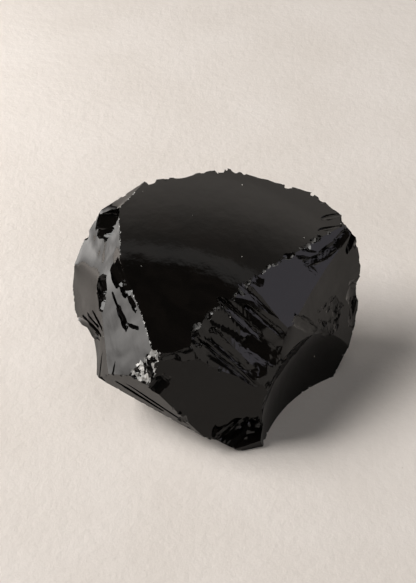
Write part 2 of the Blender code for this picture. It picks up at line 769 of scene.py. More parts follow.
    def hackles(self, flat: Socket, seeded: Socket) -> Socket:
        """Return the height of the fine ridges that run out from the hackle origin.

        Args:
            flat: The place on the face.
            seeded: Where the noise is read.

        Returns:
            The height.
        """
        out = self.vector("SUBTRACT", flat, self.given("Hackle Origin"))
        out_x, out_y, _ = self.split(out)
        across = self.math("MULTIPLY", self.math("ARCTAN2", out_x, out_y), self.given("Hackle Spread"))
        along = self.math("MULTIPLY", self.vector("LENGTH", out), HACKLE_CHANGES)
        grain = self.noise(self.combine(across, along, self.given("Seed")), 1.0, 2.0, 0.6)
        slope = self.math("ABSOLUTE", self.math("MULTIPLY_ADD", grain, 4.0, -2.0))
        ridge = self.math("SUBTRACT", 1.0, slope)
        shifted = self.vector("ADD", seeded, HACKLE_PATCH_SHIFT)
        patch = self.patches(shifted, "Hackle Cover", HACKLE_PATCH_SCALE, HACKLE_PATCH_EDGE)
        ridge = self.math("MULTIPLY", self.math("MAXIMUM", ridge, 0.0), patch)
        return self.math("MULTIPLY", ridge, self.given("Hackle Height"))

    def shards(self, seeded: Socket) -> Socket:
        """Return the height of crushed glass: small facets, each tilted its own way.

        Args:
            seeded: Where the noise is read.

        Returns:
            The height.
        """
        facets = self.cells(seeded, self.math("DIVIDE", 1.0, self.given("Crush Size")))
        tilt = self.vector("SUBTRACT", facets.outputs["Color"], (0.5, 0.5, 0.5))
        lean = self.vector("DOT_PRODUCT", self.vector("SUBTRACT", seeded, facets.outputs["Position"]), tilt)
        return self.math("MULTIPLY", lean, self.given("Crush Tilt"))


@dataclass
class FractureSheet:
    """The slab of glass outside one face, as a cutter.

    Attributes:
        fracture: The face.
        tree: The Geometry Nodes tree that makes the slab.
        solid: Points of the CAD solid, which show where on the sheet the face lies.
        margin: How far the fine cells go past the face, in millimetres.
        seed_step: Distance between two sheets in the noise.
        near: How close a CAD point lies to the face that it belongs to, in millimetres.
    """

    fracture: Fracture
    tree: Tree
    solid: np.ndarray
    margin: float = 2.0
    seed_step: float = 0.37
    near: float = 0.12

    def face_area(self) -> tuple[np.ndarray, np.ndarray]:
        """Find the face on the sheet.

        Returns:
            The face's middle and half size, in millimetres.
        """
        inverse = np.array(self.fracture.matrix().inverted())
        local = (self.solid @ inverse[:3, :3].T + inverse[:3, 3]) / MM
        squared = (local[:, :2] ** 2).sum(axis=1)
        bend = 1.0 / self.fracture.bowl if self.fracture.bowl else 0.0
        root = np.sqrt(np.maximum(1.0 - bend * bend * squared, 0.0))
        sag = bend * squared / (1.0 + root)
        face = local[np.abs(local[:, 2] - sag) < self.near]
        low, high = face[:, :2].min(axis=0), face[:, :2].max(axis=0)
        return (low + high) / 2, (high - low) / 2 + self.margin

    def build(self, carrier: bpy.types.Object, material: bpy.types.Material) -> bpy.types.Object:
        """Make the cutter.

        Args:
            carrier: Empty mesh object that carries the tree while it runs.
            material: The glass.

        Returns:
            The cutter object, placed by its matrix.
        """
        middle, half = self.face_area()
        cells = [max(LEAST_CELLS, int(CELLS_PER_SIZE * size / self.fracture.cell)) for size in half]
        mark = MARKS[self.fracture.name]
        bowl = self.fracture.bowl * MM
        relief = self.fracture.skin.value
        values = {
            "Half Width": float(half[0]) * MM,
            "Half Height": float(half[1]) * MM,
            "Sheet Reach": SHEET_REACH,
            "Slab Depth": SLAB_DEPTH,
            "Bowl Curvature": 1.0 / bowl if bowl else 0.0,
            "Centre": self.on_face(middle, (0.0, 0.0)),
            "Ripple Origin": self.on_face(middle, relief.ripple_origin),
            "Hackle Origin": self.on_face(middle, relief.hackle_origin),
            "Hackle Spread": math.hypot(*relief.hackle_origin) / relief.hackle_width,
            "Cells X": cells[0],
            "Cells Y": cells[1],
            "Mark": mark,
            "Seed": mark * self.seed_step,
            "Material": material,
        }
        lengths = ("swell_length", "swell_height", "ripple_length", "ripple_height")
        lengths += ("step_length", "step_height", "hackle_height", "crush_size")
        values |= inputs_of(relief, lengths, ("ripple_cover", "hackle_cover", "crush_tilt"))
        mesh = apply_nodes(carrier, self.tree, values)
        cutter = put_in_scene(self.fracture.name + "_sheet", mesh)
        cutter.matrix_world = self.fracture.matrix()
        return cutter

    @staticmethod
    def on_face(middle: np.ndarray, offset: tuple[float, float]) -> tuple[float, float, float]:
        """Return a point on the sheet in metres from its offset to the face's middle."""
        return ((float(middle[0]) + offset[0]) * MM, (float(middle[1]) + offset[1]) * MM, 0.0)


# ----------------------------------------------------------------------------
# Flake cutters
# ----------------------------------------------------------------------------

# How many ragged balls there are to pick from, how far apart they lie in the noise, how
# hard they are pressed towards a box, and how far their outline is pushed about
BALL_VARIANTS = 6
VARIANT_GAP = 9.0
PRESS_POWER = 0.7
OUTLINE_PUSH = Vector((0.9, 1.3, 0.05))


class FlakeWriter(MeshWriter):
    """Writes a tree of ragged balls, each of which cuts one flake out of the glass."""

    def random_size(self, power: float) -> Socket:
        """Return a random size for each point, from the inputs Smallest and Largest.

        Args:
            power: How much small sizes are favoured; 1 favours none.

        Returns:
            The size.
        """
        share = self.math("POWER", self.random("FLOAT", 0.0, 1.0), power)
        gain = self.math("SUBTRACT", self.given("Largest"), self.given("Smallest"))
        return self.math("MULTIPLY_ADD", share, gain, self.given("Smallest"))

    def balls(self, squareness: object, fineness: int) -> Socket:
        """Return balls with a ragged outline, as instances to pick from.

        Args:
            squareness: How far the balls are pressed towards boxes, from 0 to 1.
            fineness: Subdivisions of the balls.

        Returns:
            The joined instances.
        """
        ball = self.fill(self.node("GeometryNodeMeshIcoSphere"), {"Radius": 1.0, "Subdivisions": fineness})
        place = self.place()
        power = self.math("MULTIPLY_ADD", squareness, -PRESS_POWER, 1.0)
        pressed = []
        for part in self.split(place):
            size = self.math("POWER", self.math("ABSOLUTE", part), power)
            pressed.append(self.math("MULTIPLY", self.math("SIGN", part), size))
        joined = self.node("GeometryNodeJoinGeometry")
        for variant in range(BALL_VARIANTS):
            shifted = self.vector("ADD", place, (0.0, 0.0, VARIANT_GAP * variant))
            outline = self.noise_vector(shifted, 1.5, 3.0, 0.55)
            push = self.vector("MULTIPLY_ADD", outline, OUTLINE_PUSH, -OUTLINE_PUSH / 2)
            pushed = self.vector("ADD", self.combine(*pressed), push)
            shape = self.move(ball.outputs["Mesh"], Position=pushed)
            self.feed(joined.inputs[0], self.call("GeometryNodeGeometryToInstance", shape))
        return joined.outputs[0]

    def strew(self, points: Socket, squareness: object, fineness: int) -> bpy.types.Node:
        """Set a ragged ball, picked at random, on each point.

        Args:
            points: The points.
            squareness: How far the balls are pressed towards boxes, from 0 to 1.
            fineness: Subdivisions of the balls.

        Returns:
            The node that sets them, whose Rotation and Scale are still free.
        """
        strewn = self.node("GeometryNodeInstanceOnPoints")
        self.fill(strewn, {"Points": points, "Instance": self.balls(squareness, fineness)})
        pick = self.random("INT", 0, BALL_VARIANTS - 1)
        return self.fill(strewn, {"Pick Instance": True, "Instance Index": pick})

    def finish_balls(self, strewn: bpy.types.Node, grain: float, shift: object) -> Tree:
        """Join the balls into one closed mesh, roughen it and end the tree.

        Args:
            strewn: The node that set the balls.
            grain: Size of the roughness's features in millimetres.
            shift: How far points move, in metres.

        Returns:
            The finished tree.
        """
        joined = self.node("GeometryNodeMeshBoolean", operation="UNION", solver="MANIFOLD")
        self.feed(live(joined.inputs)[0], strewn.outputs[0])
        noise = self.noise_vector(self.place(), 1.0 / (grain * MM), 3.0)
        push = self.vector("SUBTRACT", noise, (0.5, 0.5, 0.5))
        offset = self.vector("SCALE", push, self.math("MULTIPLY", shift, 2.0))
        return self.finish_mesh(self.move(joined.outputs[0], Offset=offset))


# ----------------------------------------------------------------------------
# Flakes along the ridges
# ----------------------------------------------------------------------------


@dataclass(frozen=True)
class RidgeChips:
    """Small flakes broken off along the ridges between two sets of faces.

    Attributes:
        name: What the run of flakes is called.
        one_side: Names of the faces on one side of the ridges.
        other_side: Names of the faces on the other side.
        spacing: Distance between flakes in millimetres.
        smallest: Radius of the smallest flake in millimetres.
        largest: Radius of the largest flake in millimetres.
        stand_off: How far a flake's middle lies outside the ridge, in flake radii.
        frost: How white the crushed glass in the flakes is, from 0 to 1.
        seed: Seed of the random sizes and places.
    """

    name: str
    one_side: tuple[str, ...]
    other_side: tuple[str, ...]
    spacing: float
    smallest: float
    largest: float
    stand_off: float = 0.6
    frost: float = 0.0
    seed: int = 0


LEFT_FACES = ("brow", "shoulder", "cheek", "jaw", "jaw_notch", "crushed_corner")
RIGHT_FACES = ("fan", "fan_high", "ear", "temple", "side", "hollow")
LOW_FACES = ("sliver", "front_keel", "chin", "left_keel", "right_keel", "back_keel", "foot")
BACK_FACES = ("left_flank", "left_back", "back_left", "back", "back_right", "right_flank")
ALL_FACES = tuple(fracture.name for fracture in FRACTURES)

SOFT_RIDGES = (
    ("brow", "shoulder"),
    ("shoulder", "jaw"),
    ("shoulder", "cheek"),
    ("temple", "side"),
)

CHIP_RUNS = (
    RidgeChips("lip_chips", ("crown",), RIGHT_FACES, 1.2, 0.6, 2.0, 0.62, 0.25, 3),
    RidgeChips("left_lip_chips", ("crown",), LEFT_FACES, 0.28, 0.18, 0.36, 0.62, 0.9, 5),
    RidgeChips("rim_chips", ("crown", "brow", "shoulder"), BACK_FACES, 2.2, 0.8, 2.4, 0.85, 0.1, 7),
    RidgeChips("right_edge_chips", RIGHT_FACES, BACK_FACES, 2.4, 0.8, 2.6, 0.78, 0.15, 11),
    RidgeChips("left_edge_chips", LEFT_FACES, BACK_FACES, 1.8, 0.6, 1.6, 0.75, 0.2, 13),
    RidgeChips("front_chips", ("front", "crown"), ("front", "crown", "fan"), 1.3, 0.35, 1.0, 0.66, 0.2, 17),
    RidgeChips("low_chips", LOW_FACES, ALL_FACES, 1.7, 0.45, 1.3, 0.72, 0.1, 19),
    RidgeChips("back_chips", BACK_FACES, ALL_FACES, 2.2, 0.7, 1.9, 0.75, 0.1, 23),
)


# Range of the chips' shapes in radii, how far they stray in spacings, how small ones are
# favoured, the grain of their roughness in millimetres, and its height in largest radii
CHIP_SHAPES = ((0.7, 0.7, 0.55), (1.2, 1.2, 0.9))
CHIP_STRAY = 0.4
CHIP_FAVOUR = 2.0
CHIP_GRAIN = 1.3
CHIP_ROUGHNESS = 0.2


def ridge_chip_tree() -> Tree:
    """Write the Geometry Nodes tree that strings flakes along ridge lines.

    Returns:
        The tree.
    """
    inputs = {"Float": ("Spacing", "Smallest", "Largest", "Stand Off"), "Int": ("Seed", "Mark")}
    w = FlakeWriter("ridge_chips", inputs)
    line = w.call("GeometryNodeMeshToCurve", w.given("Geometry"))
    even = w.node("GeometryNodeResampleCurve", mode="LENGTH")
    w.fill(even, {"Curve": line, "Length": w.given("Spacing")})
    spots = w.node("GeometryNodeCurveToPoints", mode="EVALUATED")
    w.feed(spots.inputs["Curve"], even.outputs[0])

    size = w.random_size(CHIP_FAVOUR)
    lift = w.vector("SCALE", w.stored("away"), w.math("MULTIPLY", size, w.given("Stand Off")))
    jitter = w.random("FLOAT_VECTOR", [-CHIP_STRAY] * 3, [CHIP_STRAY] * 3)
    jitter = w.vector("SCALE", jitter, w.given("Spacing"))
    points = w.move(spots.outputs["Points"], Offset=w.vector("ADD", lift, jitter))

    strewn = w.strew(points, 0.5, 2)
    turn = w.random("FLOAT_VECTOR", [0.0] * 3, [math.tau] * 3)
    shape = w.random("FLOAT_VECTOR", *CHIP_SHAPES)
    w.fill(strewn, {"Rotation": turn, "Scale": w.vector("SCALE", shape, size)})
    return w.finish_balls(strewn, CHIP_GRAIN, w.math("MULTIPLY", w.given("Largest"), CHIP_ROUGHNESS))


@dataclass
class RidgeLines:
    """The ridges of the stone, found between faces of different fractures.

    Attributes:
        stone: The broken stone.
    """

    stone: bpy.types.Object

    def __post_init__(self) -> None:
        """Read the mesh into arrays: its edges, and for each the faces and marks on its two sides."""
        mesh = self.stone.data
        self.points = read_array(mesh.vertices, "co", 3)
        self.edges = read_array(mesh.edges, "vertices", 2, np.int32)
        self.normals = read_array(mesh.polygons, "normal", 3)
        counts = read_array(mesh.polygons, "loop_total", 1, np.int32)[:, 0]
        owners = np.repeat(np.arange(len(counts)), counts)
        edge_of_loop = read_array(mesh.loops, "edge_index", 1, np.int32)[:, 0]
        order = np.argsort(edge_of_loop, kind="stable")
        self.sides = owners[order].reshape(-1, 2)
        self.marks = np.sort(face_marks(mesh)[self.sides], axis=1)
        self.free = self.marks[:, 0] != self.marks[:, 1]

    def take(self, run: RidgeChips) -> bpy.types.Object | None:
        """Return the ridge lines of one run of flakes, and take them off the list.

        Args:
            run: The run of flakes.

        Returns:
            An object of points and edges with an outward vector at each point, or
            None where the run has no ridge.
        """
        one = [MARKS[name] for name in run.one_side]
        other = [MARKS[name] for name in run.other_side]
        low, high = self.marks[:, 0], self.marks[:, 1]
        match = np.isin(low, one) & np.isin(high, other) | np.isin(high, one) & np.isin(low, other)
        chosen = np.flatnonzero(match & self.free)
        self.free[chosen] = False
        if len(chosen) == 0:
            return None
        used, inverse = np.unique(self.edges[chosen], return_inverse=True)
        edges = inverse.reshape(-1, 2)
        away = np.zeros((len(used), 3))
        both = self.normals[self.sides[chosen]].sum(axis=1)
        for side in (0, 1):
            np.add.at(away, edges[:, side], both)
        away /= np.linalg.norm(away, axis=1, keepdims=True)
        lines = point_cloud(run.name, self.points[used], edges)
        point_vectors(lines.data, "away", away)
        return lines

    def between(self, pairs: tuple[tuple[str, str], ...]) -> np.ndarray:
        """Find the edges that divide pairs of faces.

        Args:
            pairs: Names of the faces.

        Returns:
            True or False for each edge.
        """
        wanted = np.zeros(len(self.marks), dtype=bool)
        for one, other in pairs:
            wanted |= (self.marks == sorted((MARKS[one], MARKS[other]))).all(axis=1)
        return wanted

    def distance(self, chosen: np.ndarray) -> np.ndarray:
        """Measure how far each point lies from some edges.

        Args:
            chosen: True or False for each edge.

        Returns:
            The distance from each point to the nearest end of a chosen edge.
        """
        ends = np.unique(self.edges[chosen])
        tree = KDTree(len(ends))
        for index, end in enumerate(self.points[ends]):
            tree.insert(end, index)
        tree.balance()
        return np.array([tree.find(point)[2] for point in self.points])


def soft_ridge_tree() -> Tree:
    """Write the Geometry Nodes tree that rounds a mesh where its softness is stored.

    Returns:
        The tree.
    """
    w = MeshWriter("soft_ridges", {"Int": ("Passes",)})
    blur = w.node("GeometryNodeBlurAttribute", data_type="FLOAT_VECTOR")
    w.feed(live(blur.inputs)[0], w.place())
    w.fill(blur, {"Iterations": w.given("Passes"), "Weight": w.stored("softness", "FLOAT")})
    return w.finish_mesh(w.move(w.given("Geometry"), Position=live(blur.outputs)[0]), marked=False)


# ----------------------------------------------------------------------------
# Single scars
# ----------------------------------------------------------------------------

# Share of the surface's lean over a scar by which a flat floor is sunk, so that it
# reaches the scar's ends; least cosine between surface and floor that is reckoned
# with; and least height of a cutter in half widths
FLOOR_SHARE = 0.8
LEAST_FACING = 0.3
LEAST_HEIGHT = 0.4


@dataclass(frozen=True)
class Scar:
    """One flake scar, notch, groove or crack, cut along a line on the surface.

    Attributes:
        name: What the scar is called.
        start: Where it begins, in millimetres.
        end: Where it ends, in millimetres.
        width: Width in millimetres.
        facing: Heading and rise of the direction in which its floor looks, in degrees.
        depth: Depth of its shallow side in millimetres.
    """

    name: str
    start: tuple[float, float, float]
    end: tuple[float, float, float]
    width: float
    facing: tuple[float, float]
    depth: float = 0.0

    def place(self, surface: BVHTree, squareness: float) -> tuple[Vector, Vector, Vector]:
        """Set the scar's cutter on the surface.

        Args:
            surface: The stone's surface.
            squareness: 0 for a ball, 1 for a box with a flat floor.

        Returns:
            The cutter's middle, Euler turn and half sizes, in metres.
        """
        start, end = Vector(self.start) * MM, Vector(self.end) * MM
        spot, normal, _, _ = surface.find_nearest((start + end) / 2)
        along = end - start
        half_length, half_width = along.length / 2, self.width * MM / 2
        up = bearing(*self.facing)
        along = (along - up * along.dot(up)).normalized()
        across = up.cross(along)
        lean = normal - up * normal.dot(up)
        reach = abs(lean.dot(along)) * half_length + abs(lean.dot(across)) * half_width
        sunk = self.depth * MM + FLOOR_SHARE * squareness * reach / max(normal.dot(up), LEAST_FACING)
        height = max(2.0 * sunk, LEAST_HEIGHT * half_width)
        share = 1.0 + (1.0 - squareness) * (1.0 / math.sqrt(1.0 - (1.0 - sunk / height) ** 2) - 1.0)
        turn = Matrix((along, across, up)).transposed().to_euler()
        middle = spot + up * (height - sunk)
        return middle, Vector(turn), Vector((half_length * share, half_width * share, height))


@dataclass(frozen=True)
class ScarGroup:
    """Scars of one shape.

    Attributes:
        name: What the scars are called.
        squareness: 0 for round hollows, 1 for scars with a flat floor.
        roughness: How far their floors are pushed about, in millimetres.
        scars: The scars.
    """

    name: str
    squareness: float
    roughness: float
    scars: tuple[Scar, ...]


# Facings, as heading and rise, of floors that mirror a dark or a warm part of the room
DARK_LEFT = (-115, 46)
DARK_FAN = (-72, 54)
WARM_FRONT = (-88, 39)

FLAT_SCARS = (
    # Dark flakes between the brow and the shoulder
    Scar("dark_patch_upper", (-34.0, 21.5, 37.5), (-27.5, 16.0, 43.5), 5.4, (-113, 50), 0.15),
    Scar("dark_patch_lower", (-33.0, 18.0, 37.0), (-28.5, 13.5, 42.0), 4.6, (-114, 48), 0.15),
    Scar("dark_patch_tail", (-31.0, 12.5, 38.0), (-29.0, 13.5, 41.0), 2.4, (-112, 48), 0.1),
    # Flakes struck off the ridge between crown and cheek
    Scar("ridge_flake_long", (-27.8, 3.0, 40.2), (-23.4, -9.5, 37.8), 3.6, DARK_LEFT, 0.15),
    Scar("ridge_flake_inner", (-28.6, 2.5, 38.6), (-26.0, -5.5, 37.4), 3.0, (-119, 42), 0.1),
    Scar("ridge_flake_lower", (-24.0, -8.5, 38.0), (-21.4, -14.0, 36.6), 1.6, (-108, 48)),
    # Hollow with a bright floor, and the crack beside it
    Scar("pit_roof", (-31.0, 2.0, 34.5), (-31.0, -3.5, 32.0), 4.6, (-118, 26), 0.6),
    Scar("crack_upper", (-28.0, -4.0, 35.0), (-26.0, -10.0, 33.5), 0.8, (-116, 36), 0.05),
    Scar("crack_lower", (-26.5, -8.5, 33.5), (-24.0, -15.5, 32.0), 2.2, (-112, 34), 0.1),
    Scar("crack_end", (-24.2, -14.5, 32.2), (-20.5, -18.3, 34.0), 1.1, (-112, 40)),
    # Folds down the jaw
    Scar("jaw_fold_left", (-38.0, 4.0, 19.0), (-32.5, -8.0, 22.0), 1.3, (-124, 14), 0.05),
    Scar("jaw_fold_middle", (-36.0, 1.5, 22.0), (-31.5, -9.5, 24.0), 1.2, (-124, 20), 0.05),
    Scar("jaw_fold_right", (-34.0, -1.0, 25.0), (-31.0, -9.5, 26.0), 0.9, (-124, 26), 0.05),
    # Broad flake at the foot of the front, and the bright floor of the hollow
    Scar("chin_floor", (-1.0, -34.0, 7.0), (12.5, -30.5, 9.0), 7.5, (-47, -6), 0.5),
    Scar("pit_glint", (-31.2, -3.6, 32.0), (-31.9, -7.0, 29.6), 2.6, (-134, 53), 1.0),
)

RAGGED_SCARS = (
    # Round the crushed corner and over the front
    Scar("corner_facet", (-17.5, -28.5, 19.0), (-13.5, -28.5, 26.5), 4.2, (-104, 36)),
    Scar("front_step", (-14.5, -28.0, 31.5), (-9.0, -27.0, 33.0), 2.0, (-90, 44)),
    Scar("front_facet", (-10.5, -27.0, 31.5), (-4.5, -25.0, 32.5), 4.2, WARM_FRONT),
    Scar("fan_root", (-6.0, -21.5, 35.5), (-3.5, -23.0, 32.5), 3.2, (-92, 38)),
    Scar("keel_streak_dark", (-22.5, -25.0, 19.0), (-3.0, -31.5, 8.5), 1.1, (-117, 4)),
    Scar("keel_streak_light", (-24.5, -23.5, 17.0), (-12.0, -29.0, 11.5), 1.2, (-155, 24)),
    Scar("low_chip", (-10.0, -29.0, 10.5), (-7.0, -30.5, 14.0), 1.8, (-140, 10)),
    Scar("chin_flake", (-3.0, -35.0, 5.5), (14.5, -29.5, 9.5), 9.0, (-47, -6), 0.4),
    # Dark bands across the fan, and the ledges below it
    Scar("band_upper", (6.0, -6.0, 39.3), (18.5, -14.5, 30.5), 2.4, DARK_FAN),
    Scar("band_lower", (6.0, -10.5, 37.5), (17.5, -16.0, 29.0), 2.0, DARK_FAN),
    Scar("band_smudge", (9.5, -4.5, 39.5), (14.0, -6.0, 37.0), 2.6, (-68, 60)),
    Scar("fan_blot", (7.0, -18.0, 29.5), (15.5, -21.0, 25.5), 5.5, (-72, 51)),
    Scar("fan_strip", (1.0, -12.0, 38.0), (12.0, -17.0, 29.0), 2.6, (-52, 55)),
    Scar("ledge_upper", (-3.5, -21.0, 33.5), (12.0, -28.0, 20.5), 1.4, WARM_FRONT),
    Scar("ledge_dark", (-3.0, -22.5, 33.0), (12.5, -27.8, 18.5), 0.7, (-74, 56)),
    Scar("ledge_middle", (-4.0, -23.5, 32.5), (13.0, -27.5, 16.0), 1.3, (-84, 43)),
    Scar("fan_apron", (-1.5, -19.5, 34.5), (10.0, -24.5, 25.0), 4.2, (-85, 43)),
    # Steps under the ear
    Scar("ear_streak_back", (23.5, 5.5, 40.5), (28.5, 6.5, 38.5), 0.8, (-72, 60)),
    Scar("ear_streak_low", (21.5, 3.5, 40.0), (27.5, 4.0, 38.0), 1.2, (-72, 60)),
    Scar("ear_streak_middle", (24.0, 2.5, 38.5), (32.0, 7.0, 38.0), 2.5, (-72, 60)),
    Scar("ear_streak_high", (28.0, 5.0, 38.5), (36.0, 12.0, 39.5), 3.0, (-72, 61)),
    Scar("ear_streak_end", (32.5, 9.0, 38.5), (36.5, 13.5, 40.0), 3.6, (-75, 64)),
    Scar("ear_swirl", (24.5, 2.0, 38.0), (28.0, 0.5, 35.5), 1.6, (-66, 55)),
    Scar("right_corner", (34.5, 18.0, 42.0), (38.0, 14.0, 39.5), 4.0, (5, 50), 0.4),
    Scar("ear_corner", (38.0, 14.0, 39.0), (39.0, 7.5, 36.0), 3.0, (0, 38), 0.5),
    Scar("crown_flake_back", (29.0, 16.5, 42.5), (35.5, 18.5, 42.5), 1.8, (-80, 86)),
    Scar("crown_flake_near", (28.0, 12.5, 42.0), (35.0, 14.5, 41.5), 1.2, (-85, 87)),
    # Crumpled glass below the temple
    Scar("temple_chip", (20.0, -11.5, 31.5), (27.0, -6.5, 20.5), 3.8, (-26, 24)),
)

ROUND_SCARS = (
    # Floor of the hollow, the jaw's lines and hollow, and a dent on the right
    Scar("pit_floor", (-31.4, -2.8, 32.3), (-32.0, -6.8, 29.6), 3.8, (-134, 53), 1.1),
    Scar("jaw_line_left", (-30.5, -14.5, 22.5), (-30.5, -18.5, 13.0), 0.9, (-150, 20), 0.35),
    Scar("jaw_line_right", (-26.5, -19.0, 26.0), (-25.0, -23.0, 18.0), 0.8, (-150, 25), 0.3),
    Scar("jaw_hollow", (-36.0, 2.5, 20.5), (-31.5, -9.0, 22.5), 5.5, (-150, 10), 0.5),
    Scar("right_dent", (38.5, 9.0, 23.0), (37.5, 3.5, 14.5), 3.0, (-15, 8), 0.8),
)

SCAR_GROUPS = (
    ScarGroup("flat_scars", 0.8, 0.2, FLAT_SCARS),
    ScarGroup("ragged_scars", 0.6, 0.16, RAGGED_SCARS),
    ScarGroup("round_scars", 0.0, 0.08, ROUND_SCARS),
)


@dataclass(frozen=True)
class ScarField:
    """Many random flake scars strewn over one area of the stone.

    Attributes:
        name: What the field is called.
        middle: Middle of the area in millimetres.
        radius: Radius of the area in millimetres.
        spacing: Least distance between two scars in millimetres.
        smallest: Half length of the smallest scar in millimetres.
        largest: Half length of the largest scar in millimetres.
        sink: How far a scar's middle lies above the surface, in half lengths.
        roughness: How far the scars' floors are pushed about, in millimetres.
        seed: Seed of the random places and sizes.
    """

    name: str
    middle: tuple[float, float, float]
    radius: float
    spacing: float
    smallest: float
    largest: float
    sink: float = 0.25
    roughness: float = 0.25
    seed: int = 0


SCAR_FIELDS = (
    ScarField("back_scars", (0.0, 32.0, 22.0), 30.0, 9.0, 6.0, 14.0, 0.29, 0.2, seed=4),
    ScarField("right_scars", (38.0, 14.0, 14.0), 13.0, 7.0, 4.0, 9.0, 0.29, 0.2, seed=6),
    ScarField("temple_scars", (31.5, -1.0, 22.5), 6.0, 2.4, 1.4, 4.2, 0.28, 0.5, seed=3),
    ScarField("flank_scars", (-36.0, 14.0, 10.0), 12.0, 7.0, 4.0, 9.0, 0.29, 0.2, seed=8),
)

# Points per square metre, of which the spacing leaves only a few, and how far the
# surface may look up where scars are strewn
FULL_DENSITY = 1.0e6
MOST_UPWARD = 0.5

# Range of the strewn scars' shapes in half lengths, how small ones are favoured, how
# far they tip in radians, and the grain of all scars' roughness in millimetres
FIELD_SHAPES = ((0.8, 0.45, 0.36), (1.1, 0.8, 0.42))
FIELD_FAVOUR = 1.6
FIELD_TIP = 0.3
SCAR_GRAIN = 2.4


def scar_tree() -> Tree:
    """Write the Geometry Nodes tree that sets a cutter of a scar on each point.

    The cutter is a ragged ball, pressed towards a box by Squareness so that it
    leaves a flat floor.

    Returns:
        The tree.
    """
    inputs = {"Float": ("Squareness", "Roughness"), "Int": ("Seed", "Mark")}
    w = FlakeWriter("single_scars", inputs)
    points = w.call("GeometryNodeMeshToPoints", w.given("Geometry"))
    strewn = w.strew(points, w.given("Squareness"), 5)
    w.fill(strewn, {"Rotation": w.stored("turn"), "Scale": w.stored("half_sizes")})
    return w.finish_balls(strewn, SCAR_GRAIN, w.given("Roughness"))


def scar_field_tree() -> Tree:
    """Write the Geometry Nodes tree that strews scars over an area of a mesh.

    Returns:
        The tree.
    """
    lengths = ("Radius", "Spacing", "Smallest", "Largest", "Sink", "Roughness")
    inputs = {"Vector": ("Middle",), "Float": lengths, "Int": ("Seed", "Mark")}
    w = FlakeWriter("scar_field", inputs)
    far = w.vector("DISTANCE", w.place(), w.given("Middle"))
    near = w.math("LESS_THAN", far, w.given("Radius"))
    steep = w.math("LESS_THAN", w.split(w.call("GeometryNodeInputNormal"))[2], MOST_UPWARD)
    spots = w.node("GeometryNodeDistributePointsOnFaces", distribute_method="POISSON")
    w.fill(spots, {"Mesh": w.given("Geometry"), "Selection": w.math("MULTIPLY", near, steep)})
    w.fill(spots, {"Distance Min": w.given("Spacing"), "Density Max": FULL_DENSITY, "Seed": w.given("Seed")})

    size = w.random_size(FIELD_FAVOUR)
    lift = w.vector("SCALE", spots.outputs["Normal"], w.math("MULTIPLY", size, w.given("Sink")))
    strewn = w.strew(w.move(spots.outputs["Points"], Offset=lift), 0.2, 4)
    tip = w.random("FLOAT_VECTOR", (-FIELD_TIP, -FIELD_TIP, 0.0), (FIELD_TIP, FIELD_TIP, math.tau))
    turn = w.node("FunctionNodeRotateRotation", rotation_space="LOCAL")
    w.feed(turn.inputs[0], spots.outputs["Rotation"])
    w.feed(turn.inputs[1], tip)
    shape = w.random("FLOAT_VECTOR", *FIELD_SHAPES)
    w.fill(strewn, {"Rotation": turn.outputs[0], "Scale": w.vector("SCALE", shape, size)})
    return w.finish_balls(strewn, SCAR_GRAIN, w.given("Roughness"))


# ----------------------------------------------------------------------------
# The stone
# ----------------------------------------------------------------------------


